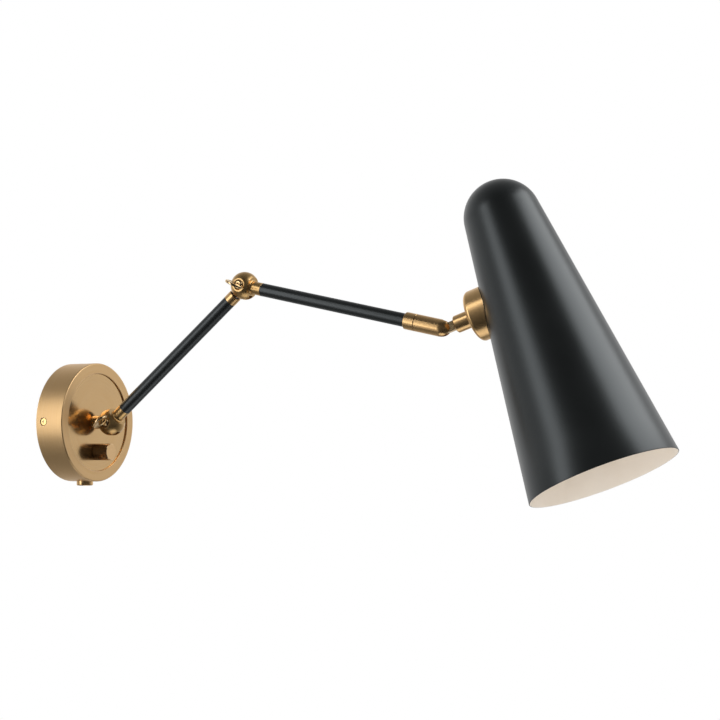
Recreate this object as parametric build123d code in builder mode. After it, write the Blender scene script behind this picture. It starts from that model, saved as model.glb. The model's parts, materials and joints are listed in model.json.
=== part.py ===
from build123d import *

import os
from math import cos, radians, sin, sqrt, tan

# Two-arm swing wall lamp: a brass canopy with a dimmer knob, two black tubes joined by ball knuckles
# with winged keys, and a long black cone shade on a swivelling, tilting head.
# Millimetres and degrees. The wall is the plane Y = 0, the lamp stands out along -Y, +Z is up, and
# the origin is the middle of the canopy's back. Arms and shade are drawn in the photographed pose.

# Driving dimensions: the pose and the reach
arm_1_rise = 40.0
arm_2_drop = 13.0
head_turn = -4.4
head_rise = 32.8
shade_lean = 2.9
pivot_1_out = 47.6
arm_1_length = 204.0
arm_2_length = 218.0
hinge_to_shade = 42.0

# Clearances
running = 0.05
side_play = 0.1
seat_gap = 0.2

# Canopy
canopy_radius = 60.0
canopy_depth = 31.5
canopy_wall = 3.5
canopy_edge = 1.2
disc_radius = 49.4
disc_fit = 0.1
disc_sunk = 1.5
disc_thick = 2.5
lip_width = 3.5
lip_thick = 1.5
disc_front = canopy_depth - disc_sunk
disc_back = disc_front - disc_thick

# Wall bracket inside the canopy
bracket_thick = 1.5
bracket_height = 28.0
bracket_half = canopy_radius - canopy_wall - 1.0
bracket_plate_half = canopy_radius - 8.0
bracket_hole = 11.0
wall_slot_spacing = 70.0
wall_slot_width = 5.0
wall_slot_length = 12.0
lug_height = 16.0
side_screw_out = 9.0
side_screw_radius = 2.0
side_head_radius = 3.8
side_hole_radius = 4.3
side_head_thick = 1.6
lug_out = side_screw_out + 6.0
lug_fold = 0.01

# Fixings of the face disc
disc_screw_count = 3
disc_screw_radius = 1.2
disc_screw_head = 2.1
disc_screw_head_thick = 1.6
disc_screw_bite = 1.6
disc_screw_circle = disc_radius + disc_fit - lip_width / 2

# Dimmer and its knob
knob_drop = 30.0
knob_radius = 8.4
knob_length = 17.0
knob_gap = 0.4
knob_wall = 2.1
knob_edge = 0.7
shaft_radius = 3.0
bush_radius = 4.2
bush_flange = 1.0
dimmer_width = 26.0
dimmer_height = 23.0
dimmer_depth = 14.0
bush_nut_flats = 10.0
bush_nut_thick = 2.2
knob_cavity_depth = bush_nut_thick + 1.3
knob_shaft_depth = 10.0
knob_grub_radius = 1.5
cross_width = 1.0

# Terminals and earth
terminal_x = 20.5
terminal_width = 13.0
terminal_height = 24.0
terminal_depth = 12.0
terminal_pitch = 11.0
terminal_screw_radius = 1.6
terminal_screw_sunk = 4.0
earth_radius = 2.0
earth_head_radius = 3.6
earth_head_thick = 2.2
earth_x = -19.0

# Cord bushing in the canopy's rim
bushing_out = 15.0
bushing_radius = 8.3
bushing_height = 4.8
bushing_neck = 5.0
bushing_bore = 3.4
bushing_seat = 0.6
bushing_nut_flats = 14.0
bushing_nut_thick = 3.0
bushing_nut_gap = 0.8

# Post
post_radius = 6.6
post_stud = 5.0
post_washer_radius = 8.5
post_washer_thick = 1.0
post_nut_flats = 14.0
post_nut_thick = 4.0
post_lead_bore = 2.6

# Ball knuckles and their tongues
ball_radius = 13.6
spot_face = 9.0
ferrule_radius = 6.3
ferrule_blend = 1.4
ferrule_rim = 1.4
ferrule_rim_step = 0.12
tube_start = 20.6
tongue_width = 9.0
tongue_thick = 5.6
eye_radius = 6.0
cup_bore = 5.5
cup_start = 13.7
cup_floor = 16.5
collar_radius = 6.5
collar_length = 8.3
nipple_radius = 4.9
nipple_end = 21.0
slot_1_first = 109.0
slot_1_last = 251.0
slot_2_first = 65.0
slot_2_last = 228.0
slot_play = 0.3
key_recess_radius = 5.3
key_flat_radius = 6.5
key_floor = 8.3
key_shank = 2.0
key_shank_tip = 8.6
key_hub_radius = 4.4
key_hub_top = 13.1
key_hub_round = 1.2
key_hub_edge = 0.4
wing_centre = 19.8
wing_half_width = 9.4
wing_half_length = 8.2
wing_thick = 2.5
wing_round = 0.9
key_1_turn = 38.0
key_2_turn = 154.0

# Tubes
tube_radius = 6.35
tube_wall = 1.0
spigot_length = 12.0
spigot_chamfer = 0.6
lead_radius = 2.5
lead_bore = lead_radius + running
spigot_radius = tube_radius - tube_wall

# Swivelling cap and hinge at the head
cap_radius = 8.05
cap_back = 29.8
cap_tip = 5.0
cap_round = 10.5
cap_chamfer = 0.3
head_collar_length = 11.0
head_collar_edge = 0.5
swivel_radius = 4.5
swivel_depth = 14.0
swivel_grip = 5.0
swivel_groove = 3.6
swivel_groove_width = 2.2
grub_back = 5.0
grub_radius = 1.5
grub_tip = 0.8
grub_gap = 0.3
hinge_slot = 4.4
hinge_floor = 5.2
hinge_screw_radius = 1.5
hinge_head_radius = 2.6
hinge_head_seat = 5.2
hinge_head_thick = 1.7
hinge_screw_end = 5.2
head_eye = 4.6
head_tongue_width = 9.0

# Stem and cup
stem_radius = 8.1
stem_start = 10.9
stem_chamfer = 0.8
tongue_stud = 4.0
tongue_stud_length = 8.4
cup_back = 29.0
cup_radius = 23.8
cup_round = 4.0
cup_wall = 3.0
gasket = 0.5
gasket_step = 0.5
shade_nipple_bore = 2.8

# Shade
mouth_radius = 67.8
mouth_below = 176.7
dome_above = 75.7
shade_taper = 7.32
shade_wall = 1.0
lip_round = 0.4
nipple_hole = 5.2

# Lampholder and its bracket
saddle_radius = 11.0
saddle_depth = 6.3
strap_thick = 1.5
strap_width = 16.0
strap_mouth_end = 10.0
strap_top = 22.0
strap_reach = 12.0
shade_nut_flats = 15.0
shade_nut_thick = 3.5
shade_nipple_spare = 1.0
holder_nipple_length = 9.0
holder_nut_thick = 2.5
holder_cap_radius = 15.5
holder_cap_length = 17.0
holder_cap_round = 5.0
holder_skirt_radius = 18.5
holder_skirt_length = 32.0
holder_skirt_round = 1.5
holder_floor = 4.0
shell_outer = 13.9
shell_wall = 0.45
shell_length = 22.0
shell_back = 3.0
contact_radius = 3.5
contact_thick = 1.2

# Bulb
bulb_cap_radius = shell_outer - shell_wall - running
bulb_cap_length = 27.5
bulb_tip_radius = 4.5
bulb_tip_length = 3.0
bulb_neck_radius = 15.0
bulb_radius = 29.0
bulb_length = 104.0
bulb_glass_wall = 1.0


def raised(frame, rise):
    """The frame with its z axis swung about its x axis, upwards for a positive angle."""
    swung = frame.z_dir * cos(radians(rise)) + frame.y_dir * sin(radians(rise))
    return Plane(origin=frame.origin, x_dir=frame.x_dir, z_dir=swung)


def rolled(frame, turn):
    """The frame turned about its own z axis."""
    swung = frame.x_dir * cos(radians(turn)) + frame.y_dir * sin(radians(turn))
    return Plane(origin=frame.origin, x_dir=swung, z_dir=frame.z_dir)


def lengthwise(frame):
    """The plane that holds the frame's z axis: x is radial, y runs along z."""
    return Plane(origin=frame.origin, x_dir=frame.x_dir, z_dir=-frame.y_dir)


def across(frame):
    """The plane square to the hinge axis: x runs along the frame's z, y to its underside."""
    return Plane(origin=frame.origin, x_dir=frame.z_dir, z_dir=frame.x_dir)


def sideways(frame, along, up=0.0):
    """A frame whose z is the given frame's x axis, at a place along z and up y."""
    origin = frame.origin + frame.z_dir * along + frame.y_dir * up
    return Plane(origin=origin, x_dir=frame.z_dir, z_dir=frame.x_dir)


def shifted(frame, right, up, out):
    """The same frame moved along its own axes."""
    origin = frame.origin + frame.x_dir * right + frame.y_dir * up + frame.z_dir * out
    return Plane(origin=origin, x_dir=frame.x_dir, z_dir=frame.z_dir)


def rod(frame, start, end, radius, mode=Mode.ADD):
    """A round bar or, subtracted, a round hole along the frame's z axis."""
    with BuildSketch(frame.offset(start)) as disc:
        Circle(radius)
    extrude(disc.sketch, amount=end - start, mode=mode)


def block(frame, start, end, width, height, mode=Mode.ADD):
    """A square bar or slot along the frame's z axis."""
    with BuildSketch(frame.offset(start)) as face:
        Rectangle(width, height)
    extrude(face.sketch, amount=end - start, mode=mode)


def hexagon(frame, start, end, flats, mode=Mode.ADD):
    """A hexagonal bar, flats apart, along the frame's z axis."""
    with BuildSketch(frame.offset(start)) as face:
        RegularPolygon(flats / 2, 6, major_radius=False)
    extrude(face.sketch, amount=end - start, mode=mode)


def turned(frame, points, mode=Mode.ADD):
    """A turned piece from its half outline of (radius, along) points."""
    plane = lengthwise(frame)
    with BuildSketch(plane) as outline:
        with BuildLine():
            Polyline(*points, close=True)
        make_face()
    revolve(outline.sketch, axis=Axis(frame.origin, frame.z_dir), mode=mode)


def finish(shape, label):
    """Names a finished piece and writes it."""
    shape.label = label
    export_step(shape, f"parts/{label}.step")


os.makedirs("parts", exist_ok=True)

# Frames: z runs along the piece, x is the hinge axis
wall = Plane(origin=(0, 0, 0), x_dir=(1, 0, 0), z_dir=(0, -1, 0))
pivot_1 = wall.offset(pivot_1_out)
post_stub = Plane(origin=pivot_1.origin, x_dir=(1, 0, 0), z_dir=(0, 1, 0))
arm_1 = raised(pivot_1, arm_1_rise)
elbow = arm_1.offset(arm_1_length)
elbow_stub = Plane(origin=elbow.origin, x_dir=(1, 0, 0), z_dir=-arm_1.z_dir)
arm_2 = raised(elbow, -arm_1_rise - arm_2_drop)
cap_frame = rolled(arm_2.offset(arm_2_length), head_turn)
head = raised(cap_frame, head_rise)
taper = tan(radians(shade_taper))
shade_radius_at_head = mouth_radius - mouth_below * taper
hinge_to_shade_axis = hinge_to_shade + shade_radius_at_head
leaned = raised(head.offset(hinge_to_shade_axis), shade_lean)
shade_frame = Plane(origin=leaned.origin, x_dir=leaned.x_dir, z_dir=-leaned.y_dir)

# ---------------------------------------------------------------- canopy

side_walls = [
    Plane(origin=(side * canopy_radius, -side_screw_out, 0), x_dir=(0, 0, 1), z_dir=(side, 0, 0))
    for side in (-1, 1)
]
bushing_frame = Plane(
    origin=(0, -bushing_out, -canopy_radius + bushing_seat), x_dir=(1, 0, 0), z_dir=(0, 0, -1)
)
disc_screw_frames = [
    shifted(
        wall,
        disc_screw_circle * sin(radians(360 * n / disc_screw_count)),
        disc_screw_circle * cos(radians(360 * n / disc_screw_count)),
        0,
    )
    for n in range(disc_screw_count)
]
lip_back = disc_back - lip_thick
canopy_inside = canopy_radius - canopy_wall
pocket_radius = disc_radius + disc_fit

with BuildPart() as canopy_ring:
    turned(
        wall,
        [
            (canopy_inside, 0),
            (canopy_radius, 0),
            (canopy_radius, canopy_depth),
            (pocket_radius, canopy_depth),
            (pocket_radius, disc_back),
            (pocket_radius - lip_width, disc_back),
            (pocket_radius - lip_width, lip_back),
            (canopy_inside, lip_back),
        ],
    )
    rims = canopy_ring.edges().filter_by(GeomType.CIRCLE).group_by(Axis.Y)[0]
    fillet(rims.sort_by(SortBy.RADIUS)[-1], canopy_edge)
    chamfer(
        canopy_ring.edges().filter_by(GeomType.CIRCLE).group_by(Axis.Y)[0].sort_by(SortBy.RADIUS)[0],
        0.25,
    )
    for side_wall in side_walls:
        rod(side_wall, -side_head_thick - seat_gap, 1, side_hole_radius, Mode.SUBTRACT)
        rod(side_wall, -canopy_wall - 1, 1, side_screw_radius + seat_gap, Mode.SUBTRACT)
    rod(bushing_frame, 0, 3, bushing_radius + seat_gap, Mode.SUBTRACT)
    rod(bushing_frame, -2 * canopy_wall, 1, bushing_neck, Mode.SUBTRACT)
    for frame in disc_screw_frames:
        rod(frame, lip_back - 1, disc_back + 1, disc_screw_radius + seat_gap, Mode.SUBTRACT)
finish(canopy_ring.part, "canopy_ring")

knob_frame = shifted(wall, 0, -knob_drop, 0)
with BuildPart() as face_disc:
    rod(wall, disc_back, disc_front, disc_radius)
    chamfer(face_disc.edges().group_by(Axis.Y)[0], 0.2)
    rod(wall, disc_back - 1, disc_front + 1, post_stud + running, Mode.SUBTRACT)
    rod(knob_frame, disc_back - 1, disc_front + 1, bush_radius, Mode.SUBTRACT)
    for frame in disc_screw_frames:
        rod(frame, disc_back - 1, disc_back + disc_screw_bite, disc_screw_radius, Mode.SUBTRACT)
finish(face_disc.part, "face_disc")

with BuildPart() as disc_screws:
    for frame in disc_screw_frames:
        rod(frame, lip_back - disc_screw_head_thick, lip_back, disc_screw_head)
        rod(frame, lip_back, disc_back + disc_screw_bite, disc_screw_radius)
        block(
            frame,
            lip_back - disc_screw_head_thick,
            lip_back - disc_screw_head_thick / 2,
            2 * disc_screw_head,
            cross_width / 2,
            Mode.SUBTRACT,
        )
finish(disc_screws.part, "disc_screws")

with BuildPart() as wall_bracket:
    with BuildSketch(wall) as plate:
        Rectangle(2 * bracket_plate_half, bracket_height)
        Rectangle(2 * bracket_half, lug_height)
        Circle(bracket_hole, mode=Mode.SUBTRACT)
        with GridLocations(wall_slot_spacing, 0, 2, 1):
            SlotOverall(wall_slot_length, wall_slot_width, mode=Mode.SUBTRACT)
        with Locations((earth_x, 0)):
            Circle(earth_radius, mode=Mode.SUBTRACT)
        with Locations((terminal_x, 0)):
            Circle(terminal_screw_radius, mode=Mode.SUBTRACT)
    extrude(plate.sketch, amount=bracket_thick)
    for side in (-1, 1):
        lug = shifted(wall, side * (bracket_half - bracket_thick / 2), 0, 0)
        block(lug, 0, lug_out, bracket_thick, lug_height)
    for side_wall in side_walls:
        rod(side_wall, -canopy_radius / 4, 0, side_screw_radius, Mode.SUBTRACT)
finish(wall_bracket.part, "wall_bracket")

lug_inner = canopy_radius - bracket_half + bracket_thick
with BuildPart() as side_screws:
    for side_wall in side_walls:
        head_top = -seat_gap
        rod(side_wall, head_top - side_head_thick, head_top, side_head_radius)
        rod(side_wall, -lug_inner - 1.0, head_top - side_head_thick, side_screw_radius)
    dome_edges = side_screws.edges().filter_by(GeomType.CIRCLE).group_by(Axis.X)
    fillet([dome_edges[0].sort_by(SortBy.RADIUS)[-1], dome_edges[-1].sort_by(SortBy.RADIUS)[-1]], 0.7)
    for side_wall in side_walls:
        for width, height in ((3.4, cross_width), (cross_width, 3.4)):
            block(side_wall, head_top - 1.0, head_top + 1, width, height, Mode.SUBTRACT)
finish(side_screws.part, "side_screws")

terminal_frame = shifted(wall, terminal_x, 0, bracket_thick)
terminal_rows = [shifted(terminal_frame, 0, row * terminal_pitch / 2, 0) for row in (-1, 1)]
with BuildPart() as terminal_block:
    block(terminal_frame, 0, terminal_depth, terminal_width, terminal_height)
    fillet(terminal_block.edges().filter_by(Axis.Y), 1.2)
    rod(terminal_frame, -bracket_thick, 0, terminal_screw_radius)
    for row in terminal_rows:
        rod(row, terminal_depth / 2, terminal_depth + 1, terminal_screw_radius + running, Mode.SUBTRACT)
        rod(sideways(row, terminal_depth / 3), -terminal_width, terminal_width, 1.7, Mode.SUBTRACT)
finish(terminal_block.part, "terminal_block")

with BuildPart() as terminal_screws:
    screw_top = terminal_depth - terminal_screw_sunk / 2
    for row in terminal_rows:
        rod(row, terminal_depth / 2, screw_top, terminal_screw_radius + running)
        block(row, screw_top - 0.8, screw_top, 4, 0.6, Mode.SUBTRACT)
finish(terminal_screws.part, "terminal_screws")

earth_frame = shifted(wall, earth_x, 0, 0)
with BuildPart() as earth_screw:
    rod(earth_frame, 0, bracket_thick, earth_radius)
    rod(earth_frame, bracket_thick, bracket_thick + earth_head_thick, earth_head_radius)
    fillet(earth_screw.edges().group_by(Axis.Y)[0], 0.6)
    for width, height in ((4.0, cross_width), (cross_width, 4.0)):
        block(
            earth_frame,
            bracket_thick + earth_head_thick - 1.0,
            bracket_thick + earth_head_thick + 1,
            width,
            height,
            Mode.SUBTRACT,
        )
finish(earth_screw.part, "earth_screw")

with BuildPart() as cord_bushing:
    rod(bushing_frame, 0, bushing_height, bushing_radius)
    fillet(cord_bushing.edges().group_by(Axis.Z)[0], 1.4)
    nut_start = canopy_wall - bushing_seat + bushing_nut_gap
    rod(bushing_frame, -nut_start - bushing_nut_thick - 1.0, 0, bushing_neck)
    rod(bushing_frame, -canopy_radius / 2, canopy_radius / 2, bushing_bore, Mode.SUBTRACT)
    chamfer(cord_bushing.edges().filter_by(GeomType.CIRCLE).group_by(Axis.Z)[0], 0.4)
finish(cord_bushing.part, "cord_bushing")

with BuildPart() as bushing_nut:
    hexagon(bushing_frame, -nut_start - bushing_nut_thick, -nut_start, bushing_nut_flats)
    rod(bushing_frame, -canopy_radius / 2, canopy_radius / 2, bushing_neck, Mode.SUBTRACT)
finish(bushing_nut.part, "bushing_nut")

# ---------------------------------------------------------------- dimmer

with BuildPart() as dimmer_body:
    block(
        knob_frame,
        disc_back - bush_flange - dimmer_depth,
        disc_back - bush_flange,
        dimmer_width,
        dimmer_height,
    )
    fillet(dimmer_body.edges().filter_by(Axis.Y), 1.5)
    rod(
        knob_frame,
        disc_back - bush_flange - dimmer_depth / 2,
        disc_back,
        shaft_radius + running,
        Mode.SUBTRACT,
    )
finish(dimmer_body.part, "dimmer_body")

bush_end = disc_front + bush_nut_thick + 0.8
with BuildPart() as dimmer_bush:
    rod(knob_frame, disc_back - bush_flange, disc_back, 2 * bush_radius)
    rod(knob_frame, disc_back, bush_end, bush_radius)
    rod(knob_frame, 0, canopy_depth * 2, shaft_radius + running, Mode.SUBTRACT)
finish(dimmer_bush.part, "dimmer_bush")

with BuildPart() as dimmer_nut:
    hexagon(knob_frame, disc_front, disc_front + bush_nut_thick, bush_nut_flats)
    rod(knob_frame, 0, canopy_depth * 2, bush_radius, Mode.SUBTRACT)
finish(dimmer_nut.part, "dimmer_nut")

knob_start = disc_front + knob_gap
knob_end = knob_start + knob_length
with BuildPart() as knob:
    rod(knob_frame, knob_start, knob_end, knob_radius)
    chamfer(knob.edges().group_by(Axis.Y)[0], knob_edge)
    rod(knob_frame, knob_start - 1, knob_start + knob_cavity_depth, knob_radius - knob_wall, Mode.SUBTRACT)
    shaft_top = knob_start + knob_cavity_depth + knob_shaft_depth
    rod(knob_frame, knob_start, shaft_top, shaft_radius, Mode.SUBTRACT)
    grub_frame = Plane(
        origin=knob_frame.origin + knob_frame.z_dir * (shaft_top - knob_shaft_depth / 2),
        x_dir=(1, 0, 0),
        z_dir=(0, 0, -1),
    )
    rod(grub_frame, 0, knob_radius + 1, knob_grub_radius, Mode.SUBTRACT)
finish(knob.part, "knob")

with BuildPart() as dimmer_shaft:
    rod(knob_frame, disc_back - bush_flange - dimmer_depth / 2 + seat_gap, shaft_top, shaft_radius)
finish(dimmer_shaft.part, "dimmer_shaft")

with BuildPart() as knob_grub:
    rod(grub_frame, shaft_radius, knob_radius - 1.0, knob_grub_radius)
    block(grub_frame, knob_radius - 2.0, knob_radius, 4, 0.6, Mode.SUBTRACT)
finish(knob_grub.part, "knob_grub")

# ---------------------------------------------------------------- ball knuckles


def tongue(stub):
    """The steel eye that sits in the ball's slot, with the threaded nipple that carries it."""
    with BuildPart() as piece:
        with BuildSketch(across(stub)) as flat:
            Circle(eye_radius)
            Rectangle(cup_floor - 1.0, tongue_width, align=(Align.MIN, Align.CENTER))
        extrude(flat.sketch, amount=tongue_thick / 2, both=True)
        rod(stub, cup_floor - 1.5, nipple_end, nipple_radius)
        rod(sideways(stub, 0), -tongue_thick, tongue_thick, key_shank + running, Mode.SUBTRACT)
        rod(stub, eye_radius + 1.0, nipple_end + 1, lead_radius - 0.5, Mode.SUBTRACT)
    return piece.part


def knuckle(arm, slot_first, slot_last):
    """The slotted ball with its ferrule, the spigot for the tube and the recess for the key."""
    flat_edge = sqrt(ball_radius**2 - spot_face**2)
    rim = ferrule_radius + ferrule_rim_step
    end = tube_start + spigot_length
    plane = lengthwise(arm)
    with BuildPart() as piece:
        with BuildSketch(plane) as outline:
            with BuildLine():
                ThreePointArc((0, -ball_radius), (ball_radius, 0), (flat_edge, spot_face))
                Line((flat_edge, spot_face), (ferrule_radius + ferrule_blend, spot_face))
                RadiusArc(
                    (ferrule_radius + ferrule_blend, spot_face),
                    (ferrule_radius, spot_face + ferrule_blend),
                    ferrule_blend,
                )
                Polyline(
                    (ferrule_radius, spot_face + ferrule_blend),
                    (ferrule_radius, tube_start - ferrule_rim),
                    (rim, tube_start - ferrule_rim + ferrule_rim_step),
                    (rim, tube_start - ferrule_rim_step),
                    (ferrule_radius, tube_start),
                    (spigot_radius, tube_start),
                    (spigot_radius, end - spigot_chamfer),
                    (spigot_radius - spigot_chamfer, end),
                    (0, end),
                    (0, -ball_radius),
                )
            make_face()
        revolve(outline.sketch, axis=Axis(arm.origin, arm.z_dir))
        rod(arm, 0, end + 1, lead_bore, Mode.SUBTRACT)
        slot = tongue_thick / 2 + side_play
        with BuildSketch(across(arm)) as gap:
            Circle(eye_radius + slot_play)
            with BuildLine():
                sweep = CenterArc((0, 0), 2 * ball_radius, slot_first, slot_last - slot_first)
                Polyline(sweep @ 1, (0, 0), sweep @ 0)
            make_face()
            for limit in (slot_first, slot_last):
                with Locations(Location((0, 0, 0), (0, 0, limit))):
                    Rectangle(
                        2 * ball_radius, tongue_width + 2 * slot_play, align=(Align.MIN, Align.CENTER)
                    )
        extrude(gap.sketch, amount=slot, both=True, mode=Mode.SUBTRACT)
        hinge = sideways(arm, 0)
        flat_depth = sqrt(ball_radius**2 - key_flat_radius**2)
        rod(hinge, -2 * ball_radius, -flat_depth, ball_radius, Mode.SUBTRACT)
        rod(hinge, -2 * ball_radius, -key_floor, key_recess_radius, Mode.SUBTRACT)
        rod(hinge, -ball_radius, key_shank_tip + 1.0, key_shank + running, Mode.SUBTRACT)
    return piece.part


def key(ball, turn):
    """The winged thumb screw in the near side of a ball, its wing turned by an angle from level."""
    wing_dir = Vector(0, -cos(radians(turn)), sin(radians(turn)))
    frame = Plane(origin=ball.origin, x_dir=wing_dir, z_dir=(-1, 0, 0))
    face = Plane(origin=ball.origin, x_dir=wing_dir, z_dir=-frame.y_dir)
    with BuildPart() as piece:
        with BuildSketch(face) as wing:
            with Locations((0, wing_centre)):
                Ellipse(wing_half_width, wing_half_length)
        extrude(wing.sketch, amount=wing_thick / 2, both=True)
        fillet(piece.edges(), wing_round)
        turned(
            frame,
            [
                (0, key_floor + running),
                (key_hub_radius - key_hub_edge, key_floor + running),
                (key_hub_radius, key_floor + running + key_hub_edge),
                (key_hub_radius, key_hub_top - key_hub_round),
                (key_hub_radius - key_hub_round, key_hub_top),
                (0, key_hub_top),
            ],
        )
        rod(frame, -key_shank_tip, key_floor + running, key_shank)
    return piece.part


def tube(frame, start, end):
    """A length of thin tube."""
    with BuildPart() as piece:
        rod(frame, start, end, tube_radius)
        rod(frame, start, end, spigot_radius, Mode.SUBTRACT)
    return piece.part


def lead(frame, start, end):
    """The straight run of the inner lead that a tube holds."""
    with BuildPart() as piece:
        rod(frame, start, end, lead_radius)
    return piece.part


# ---------------------------------------------------------------- post

post_face = pivot_1_out - disc_front - side_play
stud_end = pivot_1_out - disc_back + post_washer_thick + post_nut_thick + 2 * side_play + 1.0
with BuildPart() as post:
    rod(post_stub, cup_start, post_face, post_radius)
    chamfer(post.edges().group_by(Axis.Y)[0], 0.3)
    rod(post_stub, post_face, stud_end, post_stud)
    rod(post_stub, 0, cup_floor, cup_bore, Mode.SUBTRACT)
    rod(post_stub, 0, nipple_end + 0.5, nipple_radius, Mode.SUBTRACT)
    rod(post_stub, 0, stud_end + 1, post_lead_bore, Mode.SUBTRACT)
finish(post.part, "post")

washer_start = pivot_1_out - disc_back + side_play
with BuildPart() as post_washer:
    rod(post_stub, washer_start, washer_start + post_washer_thick, post_washer_radius)
    rod(post_stub, 0, 2 * pivot_1_out, post_stud, Mode.SUBTRACT)
finish(post_washer.part, "post_washer")

nut_face = washer_start + post_washer_thick
with BuildPart() as post_nut:
    hexagon(post_stub, nut_face, nut_face + post_nut_thick, post_nut_flats)
    rod(post_stub, 0, 2 * pivot_1_out, post_stud, Mode.SUBTRACT)
finish(post_nut.part, "post_nut")
finish(tongue(post_stub), "post_tongue")

# ---------------------------------------------------------------- arm 1

collar_end = cup_start + collar_length
tube_1_end = arm_1_length - collar_end
finish(knuckle(arm_1, slot_1_first, slot_1_last), "knuckle_1")
finish(key(arm_1, key_1_turn), "key_1")
finish(tube(arm_1, tube_start, tube_1_end), "arm_1_tube")
finish(lead(arm_1, eye_radius + 1.0, arm_1_length - nipple_end - 0.5), "arm_1_lead")
finish(tongue(elbow_stub), "elbow_tongue")

with BuildPart() as arm_1_collar:
    end = collar_end + spigot_length
    turned(
        elbow_stub,
        [
            (0, cup_start),
            (collar_radius - 0.3, cup_start),
            (collar_radius, cup_start + 0.3),
            (collar_radius, collar_end - 0.2),
            (collar_radius - 0.2, collar_end),
            (spigot_radius, collar_end),
            (spigot_radius, end - spigot_chamfer),
            (spigot_radius - spigot_chamfer, end),
            (0, end),
        ],
    )
    rod(elbow_stub, 0, cup_floor, cup_bore, Mode.SUBTRACT)
    rod(elbow_stub, 0, nipple_end + 0.5, nipple_radius, Mode.SUBTRACT)
    rod(elbow_stub, 0, end + 1, lead_bore, Mode.SUBTRACT)
finish(arm_1_collar.part, "arm_1_collar")

# ---------------------------------------------------------------- arm 2

tube_2_end = arm_2_length - cap_back - head_collar_length
collar_front = arm_2_length - cap_back - seat_gap
pin_start = collar_front - swivel_grip
finish(knuckle(arm_2, slot_2_first, slot_2_last), "knuckle_2")
finish(key(arm_2, key_2_turn), "key_2")
finish(tube(arm_2, tube_start, tube_2_end), "arm_2_tube")
finish(lead(arm_2, eye_radius + 1.0, pin_start - 0.5), "arm_2_lead")

with BuildPart() as arm_2_collar:
    turned(
        arm_2,
        [
            (0, tube_2_end - spigot_length),
            (spigot_radius - spigot_chamfer, tube_2_end - spigot_length),
            (spigot_radius, tube_2_end - spigot_length + spigot_chamfer),
            (spigot_radius, tube_2_end),
            (cap_radius - head_collar_edge, tube_2_end),
            (cap_radius, tube_2_end + head_collar_edge),
            (cap_radius, collar_front - cap_chamfer),
            (cap_radius - cap_chamfer, collar_front),
            (0, collar_front),
        ],
    )
    rod(arm_2, pin_start, collar_front + 1, swivel_radius, Mode.SUBTRACT)
    rod(arm_2, 0, arm_2_length, lead_bore, Mode.SUBTRACT)
finish(arm_2_collar.part, "arm_2_collar")

pin_end = collar_front + swivel_depth
groove_middle = arm_2_length - cap_back + grub_back
with BuildPart() as swivel_pin:
    rod(arm_2, pin_start, pin_end, swivel_radius)
    groove = groove_middle - swivel_groove_width / 2
    turned(
        arm_2,
        [
            (swivel_groove, groove),
            (swivel_radius + 1, groove),
            (swivel_radius + 1, groove + swivel_groove_width),
            (swivel_groove, groove + swivel_groove_width),
        ],
        Mode.SUBTRACT,
    )
    rod(arm_2, 0, arm_2_length, lead_bore, Mode.SUBTRACT)
finish(swivel_pin.part, "swivel_pin")

# ---------------------------------------------------------------- head cap and hinge

cap_side = lengthwise(cap_frame)
dome_start = cap_tip - cap_round
bow = 0.56
with BuildPart() as head_cap:
    with BuildSketch(cap_side) as outline:
        with BuildLine():
            Polyline(
                (0, cap_tip),
                (0, -cap_back),
                (cap_radius - cap_chamfer, -cap_back),
                (cap_radius, -cap_back + cap_chamfer),
                (cap_radius, dome_start),
            )
            Bezier(
                (cap_radius, dome_start),
                (cap_radius, dome_start + bow * cap_round),
                (bow * cap_radius, cap_tip),
                (0, cap_tip),
            )
        make_face()
    revolve(outline.sketch, axis=Axis(cap_frame.origin, cap_frame.z_dir))
    rod(cap_frame, -cap_back - 1, -cap_back + swivel_depth + seat_gap, swivel_radius + running, Mode.SUBTRACT)
    rod(cap_frame, -cap_back, 0, lead_bore, Mode.SUBTRACT)
    with BuildSketch(across(cap_frame)) as gap:
        Circle(hinge_floor)
        Rectangle(2 * cap_round, 4 * cap_radius, align=(Align.MIN, Align.CENTER))
    extrude(gap.sketch, amount=hinge_slot / 2, both=True, mode=Mode.SUBTRACT)
    block(cap_frame, -hinge_floor, 0, hinge_slot, 4 * cap_radius, Mode.SUBTRACT)
    hinge_line = sideways(cap_frame, 0)
    rod(hinge_line, -hinge_screw_end, cap_radius, hinge_screw_radius, Mode.SUBTRACT)
    rod(hinge_line, hinge_head_seat, 2 * cap_radius, hinge_head_radius + running, Mode.SUBTRACT)
    grub_line = sideways(cap_frame, -cap_back + grub_back)
    rod(grub_line, swivel_radius, 2 * cap_radius, grub_radius, Mode.SUBTRACT)
finish(head_cap.part, "head_cap")

with BuildPart() as hinge_screw:
    rod(hinge_line, -hinge_screw_end, hinge_head_seat, hinge_screw_radius)
    rod(hinge_line, hinge_head_seat, hinge_head_seat + hinge_head_thick, hinge_head_radius)
    slot_floor = hinge_head_seat + hinge_head_thick - 0.8
    block(hinge_line, slot_floor, slot_floor + 2, 8, 0.7, Mode.SUBTRACT)
finish(hinge_screw.part, "hinge_screw")

with BuildPart() as cap_grub:
    rod(grub_line, swivel_groove + grub_gap, swivel_radius + grub_gap, grub_tip)
    rod(grub_line, swivel_radius + grub_gap, cap_radius - 0.5, grub_radius)
    block(grub_line, cap_radius - 1.2, cap_radius + 1, 4, 0.6, Mode.SUBTRACT)
finish(cap_grub.part, "cap_grub")

# ---------------------------------------------------------------- tongue, stem and cup of the head

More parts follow.
